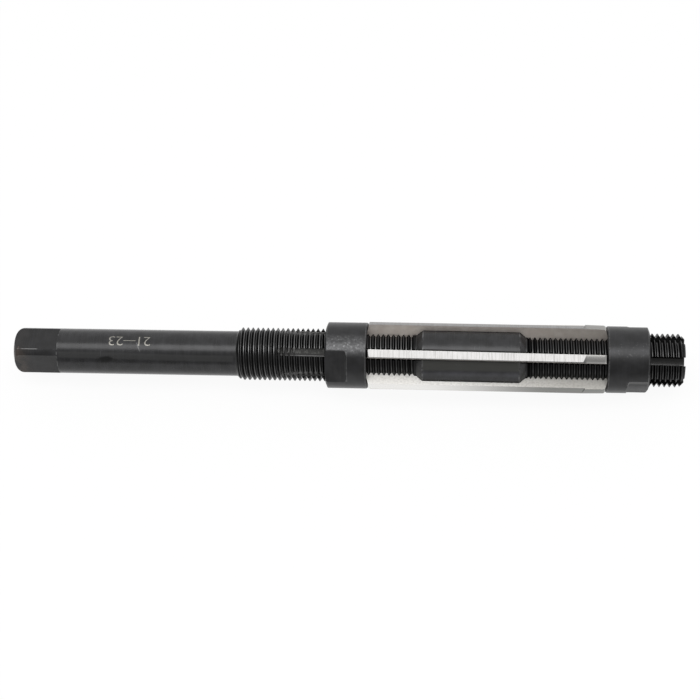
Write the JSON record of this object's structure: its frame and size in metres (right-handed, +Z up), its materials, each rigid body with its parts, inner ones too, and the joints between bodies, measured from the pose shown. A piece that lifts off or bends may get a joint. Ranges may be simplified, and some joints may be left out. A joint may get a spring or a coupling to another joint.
{
  "type": "hand reamer",
  "caption": "Hand reamer that can be set to size: blades in sloping slots of a turned body, held by ring nuts on its threads and turned by a square end.",
  "frame": {"origin": "on the tool's axis, halfway between the square end and the tip", "axes": "+X along the axis from the square end to the tip; +Z up, with the tool turned about its axis as it lies on two blades"},
  "size_m": [0.1984, 0.0218, 0.02],
  "materials": {
    "blackened_steel": "turned tool steel with black oxide",
    "blackened_nut_steel": "turned tool steel with black oxide, rubbed grey on the round",
    "ground_steel": "ground high-speed steel"
  },
  "bodies": {
    "body": {"reamer_body": "blackened_steel"},
    "upper_nut": {"upper_nut": "blackened_nut_steel"},
    "lower_nut": {"lower_nut": "blackened_nut_steel"},
    "blade_1": {"blade_1": "ground_steel"},
    "blade_2": {"blade_2": "ground_steel"},
    "blade_3": {"blade_3": "ground_steel"},
    "blade_4": {"blade_4": "ground_steel"},
    "blade_5": {"blade_5": "ground_steel"},
    "blade_6": {"blade_6": "ground_steel"}
  },
  "joints": [
    {"name": "lower_nut_travel", "type": "slide", "parent": "body", "child": "lower_nut", "axis": [-1, 0, 0], "range_m": [-0.01135, 0.01702]},
    {"name": "upper_nut_travel", "type": "slide", "parent": "body", "child": "upper_nut", "axis": [-1, 0, 0], "range_m": [-0.01156, 0.01734]},
    {"name": "blade_1_slide", "type": "slide", "parent": "body", "child": "blade_1", "axis": [-0.9994, 0.0346, -0.0098], "range_m": [-0.01146, 0.01719]},
    {"name": "blade_2_slide", "type": "slide", "parent": "body", "child": "blade_2", "axis": [-0.9994, 0.0258, 0.0251], "range_m": [-0.01146, 0.01719]},
    {"name": "blade_3_slide", "type": "slide", "parent": "body", "child": "blade_3", "axis": [-0.9994, -0.0089, 0.0349], "range_m": [-0.01146, 0.01719]},
    {"name": "blade_4_slide", "type": "slide", "parent": "body", "child": "blade_4", "axis": [-0.9994, -0.0346, 0.0098], "range_m": [-0.01146, 0.01719]},
    {"name": "blade_5_slide", "type": "slide", "parent": "body", "child": "blade_5", "axis": [-0.9994, -0.0258, -0.0251], "range_m": [-0.01146, 0.01719]},
    {"name": "blade_6_slide", "type": "slide", "parent": "body", "child": "blade_6", "axis": [-0.9994, 0.0089, -0.0349], "range_m": [-0.01146, 0.01719]}
  ],
  "couplings": [
    {"joint": "upper_nut_travel", "follows": "lower_nut_travel", "ratio": 1.0189},
    {"joint": "blade_1_slide", "follows": "lower_nut_travel", "ratio": 1.0101},
    {"joint": "blade_2_slide", "follows": "lower_nut_travel", "ratio": 1.0101},
    {"joint": "blade_3_slide", "follows": "lower_nut_travel", "ratio": 1.0101},
    {"joint": "blade_4_slide", "follows": "lower_nut_travel", "ratio": 1.0101},
    {"joint": "blade_5_slide", "follows": "lower_nut_travel", "ratio": 1.0101},
    {"joint": "blade_6_slide", "follows": "lower_nut_travel", "ratio": 1.0101}
  ]
}
